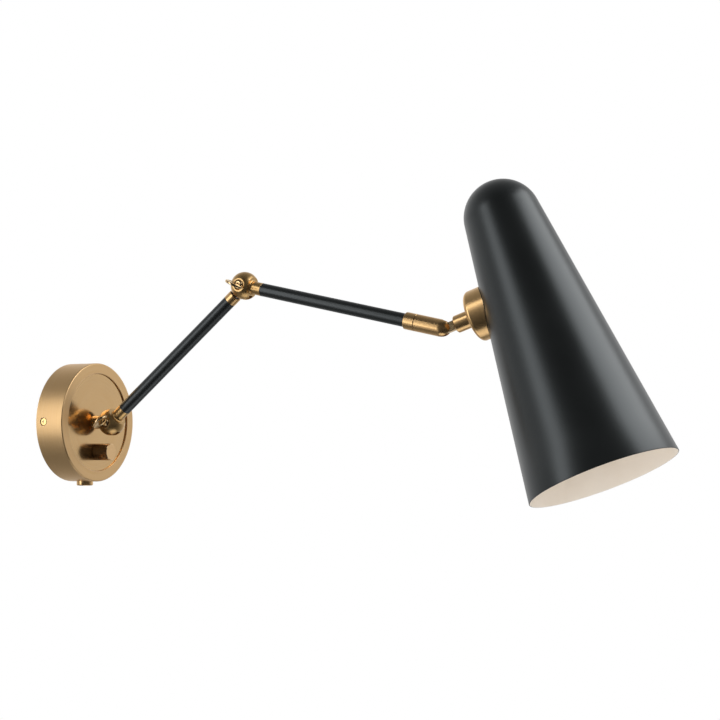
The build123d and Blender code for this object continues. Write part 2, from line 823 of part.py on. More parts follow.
with BuildPart() as head_tongue:
    with BuildSketch(across(head)) as flat:
        Circle(head_eye)
        Rectangle(stem_start, head_tongue_width, align=(Align.MIN, Align.CENTER))
    extrude(flat.sketch, amount=hinge_slot / 2 - side_play, both=True)
    rod(head, stem_start, stem_start + tongue_stud_length, tongue_stud)
    rod(sideways(head, 0), -hinge_slot, hinge_slot, hinge_screw_radius + running, Mode.SUBTRACT)
finish(head_tongue.part, "head_tongue")

nipple_back = stem_start + tongue_stud_length + 2.0
with BuildPart() as stem:
    rod(head, stem_start, cup_back, stem_radius)
    chamfer(stem.edges().group_by(Axis.Y)[-1], stem_chamfer)
    rod(head, stem_start - 1, stem_start + tongue_stud_length, tongue_stud, Mode.SUBTRACT)
    rod(head, nipple_back, cup_back + 1, nipple_radius, Mode.SUBTRACT)
finish(stem.part, "stem")

dome_radius = (mouth_radius - (mouth_below + dome_above) * taper) * cos(radians(shade_taper))


def shade_body(grow, mouth):
    """The shade's outline as a solid, grown evenly outwards, down to a place along its axis."""
    radius = dome_radius + grow
    middle = -dome_above
    lean = radians(shade_taper)
    rim = mouth_radius + (mouth - mouth_below) * taper + grow / cos(lean)
    shoulder = (radius * cos(lean), middle - radius * sin(lean))
    crown = (radius * cos(radians(50)), middle - radius * sin(radians(50)))
    plane = lengthwise(shade_frame)
    with BuildPart() as piece:
        with BuildSketch(plane) as outline:
            with BuildLine():
                ThreePointArc((0, middle - radius), crown, shoulder)
                Polyline(shoulder, (rim, mouth), (0, mouth), (0, middle - radius))
            make_face()
        revolve(outline.sketch, axis=Axis(shade_frame.origin, shade_frame.z_dir))
    return piece.part


with BuildPart() as shade:
    add(shade_body(0, mouth_below))
    add(shade_body(-shade_wall, mouth_below + 1), mode=Mode.SUBTRACT)
    rod(head, 0, hinge_to_shade_axis, nipple_hole, Mode.SUBTRACT)
    lip = shade.edges().filter_by(GeomType.CIRCLE).filter_by(lambda edge: edge.radius > mouth_radius - 3)
    fillet(lip, lip_round)
finish(shade.part, "shade")

with BuildPart() as cup:
    rod(head, cup_back, hinge_to_shade_axis, cup_radius)
    fillet(cup.edges().group_by(Axis.Y)[-1], cup_round)
    rod(head, cup_back + cup_wall, hinge_to_shade_axis + 1, cup_radius - cup_wall, Mode.SUBTRACT)
    rod(head, cup_back - 1, hinge_to_shade_axis, nipple_radius, Mode.SUBTRACT)
    add(shade_body(gasket, mouth_below), mode=Mode.SUBTRACT)
finish(cup.part, "cup")

with BuildPart() as cup_gasket:
    rod(head, cup_back + cup_wall, hinge_to_shade_axis, cup_radius - gasket_step)
    rod(head, cup_back, hinge_to_shade_axis + 1, cup_radius - cup_wall, Mode.SUBTRACT)
    add(shade_body(gasket, mouth_below), mode=Mode.INTERSECT)
    add(shade_body(0, mouth_below), mode=Mode.SUBTRACT)
finish(cup_gasket.part, "cup_gasket")

# ---------------------------------------------------------------- lampholder and bulb inside the shade

flat_along = hinge_to_shade + saddle_depth
with BuildPart() as saddle_washer:
    rod(head, flat_along - saddle_radius, flat_along, saddle_radius)
    add(shade_body(-shade_wall, mouth_below), mode=Mode.INTERSECT)
    rod(head, 0, flat_along + 1, nipple_radius, Mode.SUBTRACT)
finish(saddle_washer.part, "saddle_washer")

strap_end = flat_along + strap_thick
with BuildPart() as holder_strap:
    length = strap_top + strap_mouth_end
    lift = (strap_top - strap_mouth_end) / 2
    block(shifted(head, 0, lift, 0), flat_along, strap_end, strap_width, length)
    shelf = shifted(shade_frame, 0, 0, -strap_top)
    strap_back = hinge_to_shade_axis - flat_along
    depth = strap_back + strap_reach
    shelf_plate = shifted(shelf, 0, (strap_reach - strap_back) / 2, 0)
    block(shelf_plate, 0, strap_thick, strap_width, depth)
    rod(head, 0, strap_end + 1, nipple_radius, Mode.SUBTRACT)
    rod(shelf, -1, strap_thick + 1, nipple_radius, Mode.SUBTRACT)
finish(holder_strap.part, "holder_strap")

nipple_front = strap_end + shade_nut_thick + shade_nipple_spare
with BuildPart() as shade_nipple:
    rod(head, nipple_back, nipple_front, nipple_radius)
    rod(head, nipple_back - 1, nipple_front + 1, shade_nipple_bore, Mode.SUBTRACT)
finish(shade_nipple.part, "shade_nipple")

with BuildPart() as shade_nut:
    hexagon(head, strap_end, strap_end + shade_nut_thick, shade_nut_flats)
    rod(head, 0, nipple_front + 1, nipple_radius, Mode.SUBTRACT)
finish(shade_nut.part, "shade_nut")

holder_base = -strap_top + strap_thick
skirt_start = holder_base + holder_cap_length
skirt_end = skirt_start + holder_skirt_length
with BuildPart() as holder_nipple:
    rod(shade_frame, -strap_top - holder_nut_thick - 1.0, holder_base + holder_nipple_length, nipple_radius)
    rod(shade_frame, -2 * strap_top, 0, shade_nipple_bore, Mode.SUBTRACT)
finish(holder_nipple.part, "holder_nipple")

with BuildPart() as holder_nut:
    hexagon(shade_frame, -strap_top - holder_nut_thick, -strap_top, shade_nut_flats)
    rod(shade_frame, -2 * strap_top, 0, nipple_radius, Mode.SUBTRACT)
finish(holder_nut.part, "holder_nut")

with BuildPart() as holder_cap:
    rod(shade_frame, holder_base, skirt_start, holder_cap_radius)
    fillet(holder_cap.edges().sort_by(Axis(shade_frame.origin, shade_frame.z_dir))[0], holder_cap_round)
    rod(shade_frame, holder_base - 1, holder_base + holder_nipple_length, nipple_radius, Mode.SUBTRACT)
    rod(shade_frame, holder_base, skirt_start - 4.0, shade_nipple_bore, Mode.SUBTRACT)
finish(holder_cap.part, "holder_cap")

shell_start = skirt_start + holder_floor - shell_back
with BuildPart() as holder_skirt:
    rod(shade_frame, skirt_start, skirt_end, holder_skirt_radius)
    fillet(holder_skirt.edges().filter_by(GeomType.CIRCLE), holder_skirt_round)
    rod(shade_frame, shell_start, skirt_end + 1, shell_outer, Mode.SUBTRACT)
finish(holder_skirt.part, "holder_skirt")

with BuildPart() as screw_shell:
    rod(shade_frame, shell_start, shell_start + shell_length, shell_outer)
    rod(shade_frame, shell_start, shell_start + shell_length, shell_outer - shell_wall, Mode.SUBTRACT)
finish(screw_shell.part, "screw_shell")

contact_top = shell_start + contact_thick
with BuildPart() as centre_contact:
    rod(shade_frame, shell_start, contact_top, contact_radius)
finish(centre_contact.part, "centre_contact")

bulb_cap_start = contact_top + bulb_tip_length
glass_start = bulb_cap_start + bulb_cap_length
with BuildPart() as bulb_cap:
    turned(
        shade_frame,
        [
            (0, contact_top),
            (bulb_tip_radius, contact_top),
            (bulb_tip_radius + 1.0, bulb_cap_start - 1.0),
            (bulb_cap_radius - 1.0, bulb_cap_start),
            (bulb_cap_radius, bulb_cap_start + 1.0),
            (bulb_cap_radius, glass_start),
            (0, glass_start),
        ],
    )
finish(bulb_cap.part, "bulb_cap")

globe_middle = contact_top + bulb_length - bulb_radius


def bulb_body(grow):
    """The bulb's outline as a solid, grown evenly outwards, from the top of its cap."""
    neck = bulb_neck_radius + grow
    radius = bulb_radius + grow
    lean = radians(38)
    cheek = (radius * cos(lean), globe_middle - radius * sin(lean))
    with BuildPart() as piece:
        with BuildSketch(lengthwise(shade_frame)) as outline:
            with BuildLine():
                Polyline((0, globe_middle + radius), (0, glass_start), (neck, glass_start))
                Spline((neck, glass_start), cheek, tangents=((0.05, 1), (sin(lean), cos(lean))))
                ThreePointArc(cheek, (radius, globe_middle), (0, globe_middle + radius))
            make_face()
        revolve(outline.sketch, axis=Axis(shade_frame.origin, shade_frame.z_dir))
    return piece.part


with BuildPart() as bulb_glass:
    add(bulb_body(0))
    add(bulb_body(-bulb_glass_wall), mode=Mode.SUBTRACT)
finish(bulb_glass.part, "bulb_glass")
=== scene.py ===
import json
from math import cos, pi, radians, sin, tan

import bmesh
import bpy
from mathutils import Matrix, Vector


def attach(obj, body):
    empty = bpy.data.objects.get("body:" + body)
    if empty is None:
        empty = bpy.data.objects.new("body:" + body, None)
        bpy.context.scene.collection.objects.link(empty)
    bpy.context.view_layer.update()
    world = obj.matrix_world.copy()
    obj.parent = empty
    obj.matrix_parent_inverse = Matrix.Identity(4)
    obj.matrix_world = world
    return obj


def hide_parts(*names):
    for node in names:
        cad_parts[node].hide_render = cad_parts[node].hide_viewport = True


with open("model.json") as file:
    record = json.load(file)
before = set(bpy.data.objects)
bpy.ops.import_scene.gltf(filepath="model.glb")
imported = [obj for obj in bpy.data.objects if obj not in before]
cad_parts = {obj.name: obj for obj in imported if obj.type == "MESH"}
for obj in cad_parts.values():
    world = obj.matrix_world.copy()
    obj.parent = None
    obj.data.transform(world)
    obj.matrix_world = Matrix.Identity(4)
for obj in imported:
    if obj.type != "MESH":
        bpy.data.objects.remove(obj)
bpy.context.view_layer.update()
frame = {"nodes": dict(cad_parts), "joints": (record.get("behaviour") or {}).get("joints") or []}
nodes = frame["nodes"]
joints = {joint["name"]: joint for joint in frame["joints"]}
print("frame loaded,", len(nodes), "nodes")

# where the pieces are, read from the frame's own joints
pivotOne = Vector(joints["arm_1_tilt"]["pos_m"])
pivotTwo = Vector(joints["arm_2_tilt"]["pos_m"])
hinge = Vector(joints["head_tilt"]["pos_m"])
knobBase = Vector(joints["knob_turn"]["pos_m"])
hingeAxis = Vector(joints["head_tilt"]["axis"])
armOneDirection = (pivotTwo - pivotOne).normalized()
armTwoDirection = Vector(joints["head_swivel"]["axis"])
outOfWall = Vector((0, -1, 0))
acrossWall = Vector((1, 0, 0))

headPlace = {"rise": 32.8, "lean": 2.9, "toShadeAxis": 0.0871015}
stemDirection = Matrix.Rotation(radians(headPlace["rise"]), 3, hingeAxis) @ armTwoDirection
shadeDirection = Matrix.Rotation(radians(headPlace["lean"]), 3, hingeAxis) @ hingeAxis.cross(stemDirection)
if shadeDirection.z > 0:
    shadeDirection.negate()
shadeOrigin = hinge + stemDirection * headPlace["toShadeAxis"]


def placeAt(origin, direction, side=acrossWall):
    # a place whose z runs along the direction and whose x is as near the side as it can be
    z = direction.normalized()
    x = (side - z * side.dot(z)).normalized()
    place = Matrix((x, z.cross(x), z)).transposed().to_4x4()
    place.translation = origin
    return place


# where the patterns of the canopy's small pieces are centred
canopyShape = {"radius": 0.06, "bushingOut": 0.015, "screwOut": 0.009}
wallPlace = placeAt(Vector((0, 0, 0)), outOfWall)
knobPlace = placeAt(knobBase, outOfWall)
bushingPlace = placeAt(Vector((0, -canopyShape["bushingOut"], -canopyShape["radius"])), Vector((0, 0, -1)))
screwPlace = placeAt(Vector((0, -canopyShape["screwOut"], 0)), acrossWall, outOfWall)
armOnePlace = placeAt(pivotOne, armOneDirection)
armTwoPlace = placeAt(pivotTwo, armTwoDirection)
stemPlace = placeAt(hinge, stemDirection, -hingeAxis)
shadePlace = placeAt(shadeOrigin, shadeDirection, -hingeAxis)


def newGroup(name, inputs, outputs):
    # an empty node group with named sockets
    group = bpy.data.node_groups.new(name, "ShaderNodeTree")
    for label, kind, value in inputs:
        socket = group.interface.new_socket(name=label, in_out="INPUT", socket_type=kind)
        if value is not None:
            socket.default_value = value
    for label, kind in outputs:
        group.interface.new_socket(name=label, in_out="OUTPUT", socket_type=kind)
    start = group.nodes.new("NodeGroupInput")
    end = group.nodes.new("NodeGroupOutput")
    return group, start, end


def addNode(tree, kind, settings=None, **inputs):
    # one node with its settings, its plain values and its links; i3 is the fourth socket
    node = tree.nodes.new(kind)
    for key, value in (settings or {}).items():
        setattr(node, key, value)
    for label, value in inputs.items():
        numbered = label[0] == "i" and label[1:].isdigit()
        socket = node.inputs[int(label[1:]) if numbered else label.replace("_", " ")]
        if isinstance(value, bpy.types.NodeSocket):
            tree.links.new(value, socket)
        else:
            socket.default_value = value
    return node


def spread(tree, value, low, high, fromLow=0.0, fromHigh=1.0):
    # value between fromLow and fromHigh becomes a value between low and high
    ends = {"From_Min": fromLow, "From_Max": fromHigh, "To_Min": low, "To_Max": high}
    return addNode(tree, "ShaderNodeMapRange", Value=value, **ends).outputs["Result"]


def calculate(tree, operation, first, second, clamp=False):
    settings = {"operation": operation, "use_clamp": clamp}
    return addNode(tree, "ShaderNodeMath", settings, i0=first, i1=second).outputs["Value"]


def vectorWork(tree, operation, first, second=(0, 0, 0)):
    return addNode(tree, "ShaderNodeVectorMath", {"operation": operation}, i0=first, i1=second)


def noise(tree, vector, scale, detail, roughness=0.5):
    return addNode(
        tree, "ShaderNodeTexNoise", Vector=vector, Scale=scale, Detail=detail, Roughness=roughness
    ).outputs["Fac"]


latheMarks = {
    "density": 4000.0,
    "waver": 0.3,
    "driftScale": 90.0,
    "drift": 0.00006,  # metres that a line strays
    "around": 0.012,  # how fast a line changes along its own length
    "lineRoughness": 0.7,
    "cloudScale": 38.0,
}


def makeTurningMarks():
    # fine rings left by the lathe, on the wall and on the end face alike
    shape = latheMarks
    group, start, end = newGroup(
        "turningMarks",
        [
            ("Vector", "NodeSocketVector", None),
            ("Density", "NodeSocketFloat", shape["density"]),
            ("Waver", "NodeSocketFloat", shape["waver"]),
        ],
        [("Marks", "NodeSocketFloat"), ("Cloud", "NodeSocketFloat")],
    )
    vector, density, waver = (start.outputs[label] for label in ("Vector", "Density", "Waver"))
    flat = vectorWork(group, "MULTIPLY", vector, (1, 1, 0)).outputs["Vector"]
    radius = vectorWork(group, "LENGTH", flat).outputs["Value"]
    split = addNode(group, "ShaderNodeSeparateXYZ", Vector=vector)
    lean = calculate(group, "MULTIPLY", noise(group, vector, shape["driftScale"], 2.0), shape["drift"])
    ring = calculate(group, "ADD", radius, lean)
    rise = calculate(group, "ADD", split.outputs["Z"], lean)
    around = calculate(group, "MULTIPLY", split.outputs["X"], shape["around"])
    both = addNode(group, "ShaderNodeCombineXYZ", X=ring, Y=rise, Z=around)
    lines = noise(group, both.outputs["Vector"], density, 3.0, shape["lineRoughness"])
    cloud = noise(group, vector, shape["cloudScale"], 4.0, 0.6)
    summed = calculate(group, "ADD", lines, calculate(group, "MULTIPLY", cloud, waver))
    level = calculate(group, "SUBTRACT", summed, calculate(group, "MULTIPLY", waver, 0.5))
    group.links.new(level, end.inputs["Marks"])
    group.links.new(cloud, end.inputs["Cloud"])
    return group


edgeWearAndHighlightShape = {"radius": 0.0004, "breakUp": 0.5, "gain": 5.0, "chipScale": 900.0}


def makeEdgeWearAndHighlight():
    # how near a point is to an edge, broken up by small chips; this places edge wear, and on the canopy's
    # brass a painted highlight along the rims
    group, start, end = newGroup(
        "edgeWearAndHighlight",
        [
            ("Vector", "NodeSocketVector", None),
            ("Radius", "NodeSocketFloat", edgeWearAndHighlightShape["radius"]),
            ("Break Up", "NodeSocketFloat", edgeWearAndHighlightShape["breakUp"]),
        ],
        [("Wear And Highlight", "NodeSocketFloat")],
    )
    rounded = addNode(group, "ShaderNodeBevel", {"samples": 8}, Radius=start.outputs["Radius"])
    true = addNode(group, "ShaderNodeNewGeometry")
    align = vectorWork(group, "DOT_PRODUCT", rounded.outputs["Normal"], true.outputs["Normal"])
    away = calculate(group, "SUBTRACT", 1.0, align.outputs["Value"])
    scaled = calculate(group, "MULTIPLY", away, edgeWearAndHighlightShape["gain"], clamp=True)
    chips = noise(group, start.outputs["Vector"], edgeWearAndHighlightShape["chipScale"], 3.0)
    broken = calculate(group, "MULTIPLY", chips, start.outputs["Break Up"])
    worn = calculate(group, "SUBTRACT", scaled, broken, clamp=True)
    group.links.new(worn, end.inputs["Wear And Highlight"])
    return group


grainShape = {"pits": 1500.0, "clouds": 30.0, "specks": 2600.0, "speckFrom": 0.68, "speckFull": 0.78}


def makeSurfaceGrain():
    # small pits over a slower cloud, for paint, plastic, rubber and glaze
    group, start, end = newGroup(
        "surfaceGrain",
        [
            ("Vector", "NodeSocketVector", None),
            ("Pit Scale", "NodeSocketFloat", grainShape["pits"]),
            ("Cloud Scale", "NodeSocketFloat", grainShape["clouds"]),
        ],
        [("Pits", "NodeSocketFloat"), ("Cloud", "NodeSocketFloat"), ("Specks", "NodeSocketFloat")],
    )
    vector = start.outputs["Vector"]
    pits = noise(group, vector, start.outputs["Pit Scale"], 2.0, 0.6)
    cloud = noise(group, vector, start.outputs["Cloud Scale"], 5.0, 0.55)
    dust = noise(group, vector, grainShape["specks"], 1.0)
    specks = spread(group, dust, 0.0, 1.0, grainShape["speckFrom"], grainShape["speckFull"])
    group.links.new(pits, end.inputs["Pits"])
    group.links.new(cloud, end.inputs["Cloud"])
    group.links.new(specks, end.inputs["Specks"])
    return group


turningMarks = makeTurningMarks()
edgeWearAndHighlight = makeEdgeWearAndHighlight()
surfaceGrain = makeSurfaceGrain()
print("shader groups made")


def newMaterial(name, place=None):
    # a material with its shader and, where asked, coordinates centred on a turned piece
    material = bpy.data.materials.new(name)
    material.use_nodes = True
    tree = material.node_tree
    shader = tree.nodes["Principled BSDF"]
    coordinates = addNode(tree, "ShaderNodeTexCoord").outputs["Object"]
    if place is not None:
        mapping = addNode(tree, "ShaderNodeMapping", {"vector_type": "TEXTURE"}, Vector=coordinates)
        mapping.inputs["Location"].default_value = place.to_translation()
        mapping.inputs["Rotation"].default_value = place.to_euler()
        coordinates = mapping.outputs["Vector"]
    return material, tree, shader, coordinates


def useGroup(tree, group, **inputs):
    return addNode(tree, "ShaderNodeGroup", {"node_tree": group}, **inputs)


def useGrain(tree, coordinates, finish):
    pits, clouds = finish["pits"], finish["clouds"]
    return useGroup(tree, surfaceGrain, Vector=coordinates, Pit_Scale=pits, Cloud_Scale=clouds)


def solid(colour):
    return (*colour, 1)


def mixNumber(tree, amount, first, second):
    return addNode(tree, "ShaderNodeMix", {"data_type": "FLOAT"}, i0=amount, i2=first, i3=second).outputs[0]


def mixColour(tree, amount, first, second):
    return addNode(tree, "ShaderNodeMix", {"data_type": "RGBA"}, i0=amount, i6=first, i7=second).outputs[2]


def setSurface(tree, shader, colour, rough, height, strength, distance):
    # colour, roughness and relief into the shader
    bump = addNode(tree, "ShaderNodeBump", Strength=strength, Distance=distance, Height=height)
    tree.links.new(colour, shader.inputs["Base Color"])
    tree.links.new(rough, shader.inputs["Roughness"])
    tree.links.new(bump.outputs["Normal"], shader.inputs["Normal"])


def brassMaterial(name, place, finish):
    # turned brass, with lathe lines where the finish gives them a height
    material, tree, shader, coordinates = newMaterial(name, place)
    density, waver = finish["density"], finish["waver"]
    marks = useGroup(tree, turningMarks, Vector=coordinates, Density=density, Waver=waver)
    edges = useGroup(tree, edgeWearAndHighlight, Vector=coordinates, Radius=finish["edge"], Break_Up=0.35)
    lined = spread(tree, marks.outputs["Marks"], 0.0, 1.0, 0.3, 0.75)
    colour = mixColour(tree, lined, solid(finish["dark"]), solid(finish["light"]))
    aged = spread(tree, marks.outputs["Cloud"], 0.0, finish["age"], 0.35, 0.75)
    colour = mixColour(tree, aged, colour, solid(finish["tarnish"]))
    # near edges the colour turns to the finish's edge colour: rubbed wear, and with the canopy's finishes a
    # painted highlight along the rims
    colour = mixColour(tree, edges.outputs["Wear And Highlight"], colour, solid(finish["edgeWearAndHighlightColour"]))
    shader.inputs["Metallic"].default_value = 1.0
    if finish["bump"]:
        height = marks.outputs["Marks"]
        rough = spread(tree, height, finish["smooth"], finish["rough"], 0.25, 0.75)
        setSurface(tree, shader, colour, rough, height, finish["bump"], 0.00004)
    else:
        tree.links.new(colour, shader.inputs["Base Color"])
        shader.inputs["Roughness"].default_value = finish["rough"]
    return material


satinBrass = {
    "light": (0.84, 0.545, 0.255),
    "dark": (0.78, 0.50, 0.228),
    "tarnish": (0.50, 0.30, 0.12),
    "edgeWearAndHighlightColour": (0.93, 0.71, 0.44),
    "age": 0.3,
    "density": 1500.0,
    "waver": 0.3,
    "rough": 0.27,
    "bump": 0.0,
    "edge": 0.0004,
}
ballBrass = dict(satinBrass, light=(0.66, 0.43, 0.185), dark=(0.61, 0.39, 0.16), rough=0.315)
brightBrass = dict(satinBrass, light=(0.90, 0.66, 0.37), dark=(0.85, 0.61, 0.33), rough=0.13)
keyBrass = dict(brightBrass, density=2600.0)
plainBrass = dict(satinBrass, light=(0.80, 0.60, 0.30), dark=(0.60, 0.42, 0.18), rough=0.4)
barrelBrass = dict(
    satinBrass, light=(0.42, 0.24, 0.11), dark=(0.26, 0.14, 0.06), tarnish=(0.12, 0.06, 0.025), age=0.4
)
# its wide, pale edge colour paints a highlight along the canopy's rims; the mirror, front and screw brass
# below keep it
canopyBrass = dict(
    satinBrass,
    light=(0.83, 0.575, 0.31),
    edgeWearAndHighlightColour=(1.0, 0.84, 0.6),
    age=0.15,
    density=1700.0,
    smooth=0.33,
    rough=0.46,
    bump=0.12,
    edge=0.0009,
)
mirrorBrass = dict(canopyBrass, density=1400.0, smooth=0.14, rough=0.2, bump=0.02)
frontBrass = dict(
    mirrorBrass, light=(0.93, 0.63, 0.33), dark=(0.86, 0.56, 0.28), edgeWearAndHighlightColour=(1.0, 0.82, 0.56), smooth=0.2
)
screwBrass = dict(
    mirrorBrass, light=(1.0, 0.80, 0.36), dark=(0.92, 0.66, 0.26), tarnish=(0.8, 0.5, 0.15), smooth=0.2
)


def steelMaterial(name, place, finish):
    material, tree, shader, coordinates = newMaterial(name, place)
    marks = useGroup(tree, turningMarks, Vector=coordinates, Density=finish["density"], Waver=0.5)
    edges = useGroup(tree, edgeWearAndHighlight, Vector=coordinates, Radius=finish["edge"], Break_Up=0.5)
    height = marks.outputs["Marks"]
    colour = mixColour(tree, height, solid(finish["dark"]), solid(finish["light"]))
    colour = mixColour(tree, edges.outputs["Wear And Highlight"], colour, solid(finish["edgeWearAndHighlightColour"]))
    rough = spread(tree, marks.outputs["Cloud"], finish["smooth"], finish["rough"], 0.3, 0.7)
    shader.inputs["Metallic"].default_value = 1.0
    setSurface(tree, shader, colour, rough, height, finish["bump"], 0.00003)
    return material


brightSteel = {
    "light": (0.66, 0.68, 0.72),
    "dark": (0.36, 0.38, 0.41),
    "edgeWearAndHighlightColour": (0.8, 0.8, 0.8),
    "density": 3500.0,
    "smooth": 0.2,
    "rough": 0.36,
    "bump": 0.3,
    "edge": 0.0003,
}
zincSteel = dict(
    brightSteel, light=(0.66, 0.67, 0.66), dark=(0.42, 0.43, 0.44), density=260.0, smooth=0.32, rough=0.55
)


dustColour = (0.32, 0.31, 0.3)


def coatMaterial(name, finish):
    # paint, plastic, rubber or glaze: not metal, with pits and a slow cloud
    material, tree, shader, coordinates = newMaterial(name)
    grain = useGrain(tree, coordinates, finish)
    edges = useGroup(tree, edgeWearAndHighlight, Vector=coordinates, Radius=finish["edge"], Break_Up=0.6)
    cloudy = spread(tree, grain.outputs["Cloud"], 0.0, 1.0, 0.3, 0.7)
    colour = mixColour(tree, cloudy, solid(finish["dark"]), solid(finish["light"]))
    dusty = spread(tree, grain.outputs["Specks"], 0.0, finish["dust"])
    colour = mixColour(tree, dusty, colour, solid(dustColour))
    thin = spread(tree, edges.outputs["Wear And Highlight"], 0.0, finish["wear"])
    colour = mixColour(tree, thin, colour, solid(finish["edgeWearAndHighlightColour"]))
    rough = spread(tree, grain.outputs["Cloud"], finish["smooth"], finish["rough"], 0.3, 0.7)
    setSurface(tree, shader, colour, rough, grain.outputs[finish["relief"]], finish["bump"], 0.00006)
    shader.inputs["IOR"].default_value = finish["ior"]
    shader.inputs["Specular Tint"].default_value = solid(finish["gleam"])
    return material


blackPaint = {
    "light": (0.0040, 0.0048, 0.0048),
    "dark": (0.0028, 0.0034, 0.0034),
    "edgeWearAndHighlightColour": (0.06, 0.06, 0.06),
    "pits": 1400.0,
    "clouds": 26.0,
    "dust": 0.003,
    "wear": 0.35,
    "smooth": 0.33,
    "rough": 0.35,
    "bump": 0.08,
    "relief": "Cloud",
    "edge": 0.0003,
    "ior": 1.65,
    "gleam": (0.9, 0.97, 1.0),
}
creamPaint = {
    "light": (0.92, 0.84, 0.74),
    "dark": (0.88, 0.79, 0.68),
    "edgeWearAndHighlightColour": (0.86, 0.80, 0.72),
    "pits": 900.0,
    "clouds": 40.0,
    "dust": 0.0,
    "wear": 0.2,
    "smooth": 0.5,
    "rough": 0.62,
    "bump": 0.15,
    "relief": "Pits",
    "edge": 0.0003,
    "ior": 1.48,
    "gleam": (1.0, 1.0, 1.0),
}
darkPlastic = dict(
    blackPaint,
    gleam=(1.0, 1.0, 1.0),
    pits=2200.0,
    dust=0.15,
    smooth=0.45,
    rough=0.6,
    bump=0.3,
    relief="Pits",
    ior=1.46,
)
rubberSkin = dict(darkPlastic, pits=2600.0, bump=0.35, smooth=0.6, rough=0.75, ior=1.45, dust=0.25)
leadSkin = dict(darkPlastic, light=(0.035, 0.035, 0.037), dark=(0.02, 0.02, 0.022), smooth=0.5, rough=0.65)
whiteGlaze = dict(
    creamPaint,
    light=(0.82, 0.81, 0.77),
    dark=(0.76, 0.75, 0.7),
    dust=0.02,
    smooth=0.12,
    rough=0.2,
    bump=0.05,
    ior=1.52,
)


opalGlass = {
    "light": (0.95, 0.945, 0.93),
    "dark": (0.90, 0.89, 0.86),
    "pits": 3000.0,
    "clouds": 20.0,
    "smooth": 0.38,
    "rough": 0.5,
    "bump": 0.1,
    "clear": 0.35,
    "ior": 1.5,
}


def opalMaterial(name, finish):
    material, tree, shader, coordinates = newMaterial(name)
    grain = useGrain(tree, coordinates, finish)
    height = grain.outputs["Pits"]
    colour = mixColour(tree, grain.outputs["Cloud"], solid(finish["dark"]), solid(finish["light"]))
    rough = spread(tree, height, finish["smooth"], finish["rough"])
    setSurface(tree, shader, colour, rough, height, finish["bump"], 0.00003)
    shader.inputs["Transmission Weight"].default_value = finish["clear"]
    shader.inputs["IOR"].default_value = finish["ior"]
    return material


def dress(names, material):
    # a CAD node keeps its mesh and gets a new material
    for name in names.split():
        node = nodes[name]
        node.data.materials.clear()
        node.data.materials.append(material)


dress("canopy_ring", brassMaterial("canopyRingBrass", wallPlace, canopyBrass))
dress("face_disc", brassMaterial("faceDiscBrass", wallPlace, mirrorBrass))
dress("post post_washer post_nut", brassMaterial("postBrass", wallPlace, satinBrass))
dress("side_screws", brassMaterial("sideScrewBrass", screwPlace, screwBrass))
dress("cord_bushing bushing_nut", brassMaterial("bushingBrass", bushingPlace, satinBrass))
dress("knuckle_1", brassMaterial("knuckleOneBrass", armOnePlace, ballBrass))
dress("arm_1_collar", brassMaterial("collarOneBrass", armOnePlace, satinBrass))
dress("knuckle_2", brassMaterial("knuckleTwoBrass", armTwoPlace, ballBrass))
dress("arm_2_collar head_cap swivel_pin", brassMaterial("capBrass", armTwoPlace, satinBrass))
dress("head_tongue hinge_screw", brassMaterial("tongueBrass", stemPlace, brightBrass))
dress("stem cup shade_nipple shade_nut", brassMaterial("stemBrass", stemPlace, satinBrass))
dress(
    "holder_nipple holder_nut screw_shell centre_contact",
    brassMaterial("holderBrass", shadePlace, plainBrass),
)
dress("dimmer_bush dimmer_nut", brassMaterial("dimmerBrass", knobPlace, plainBrass))
dress("post_tongue elbow_tongue", steelMaterial("tongueSteel", None, brightSteel))
dress("dimmer_shaft knob_grub", steelMaterial("shaftSteel", knobPlace, brightSteel))
dress("disc_screws earth_screw terminal_screws cap_grub", steelMaterial("screwSteel", None, brightSteel))
dress("wall_bracket holder_strap saddle_washer", steelMaterial("zincSteel", None, zincSteel))
dress("bulb_cap", steelMaterial("bulbCapMetal", shadePlace, brightSteel))
dress("arm_1_tube arm_2_tube", coatMaterial("tubePaint", blackPaint))
dress("dimmer_body", coatMaterial("dimmerPlastic", darkPlastic))
dress("cup_gasket", coatMaterial("gasketRubber", rubberSkin))
dress("arm_1_lead arm_2_lead", coatMaterial("leadSheath", leadSkin))
dress("terminal_block holder_cap holder_skirt", coatMaterial("whiteGlaze", whiteGlaze))
dress("bulb_glass", opalMaterial("opalGlass", opalGlass))
print("frame dressed")


def startPiece(name):
    # the object just added becomes the named piece, open in edit mode
    piece = bpy.context.object
    piece.name = name
    piece.data.name = name
    bpy.ops.object.mode_set(mode="EDIT")
    return piece


def clearSelection():
    if bpy.context.object and bpy.context.object.mode != "OBJECT":
        bpy.ops.object.mode_set(mode="OBJECT")
    bpy.ops.object.select_all(action="DESELECT")


def pick(piece, kind, test):
    # selects the faces, edges or vertices that pass the test
    bpy.ops.mesh.select_all(action="DESELECT")
    mesh = bmesh.from_edit_mesh(piece.data)
    items = {"VERT": mesh.verts, "EDGE": mesh.edges, "FACE": mesh.faces}[kind]
    bpy.ops.mesh.select_mode(type=kind)
    for item in items:
        item.select_set(bool(test(item)))
    mesh.select_flush_mode()
    bmesh.update_edit_mesh(piece.data)


def middle(item):
    return sum((v.co for v in item.verts), Vector()) / len(item.verts)


def applyModifier(piece, kind, **settings):
    modifier = piece.modifiers.new(kind.title(), kind)
    for key, value in settings.items():
        setattr(modifier, key, value)
    bpy.ops.object.modifier_apply(modifier=modifier.name)


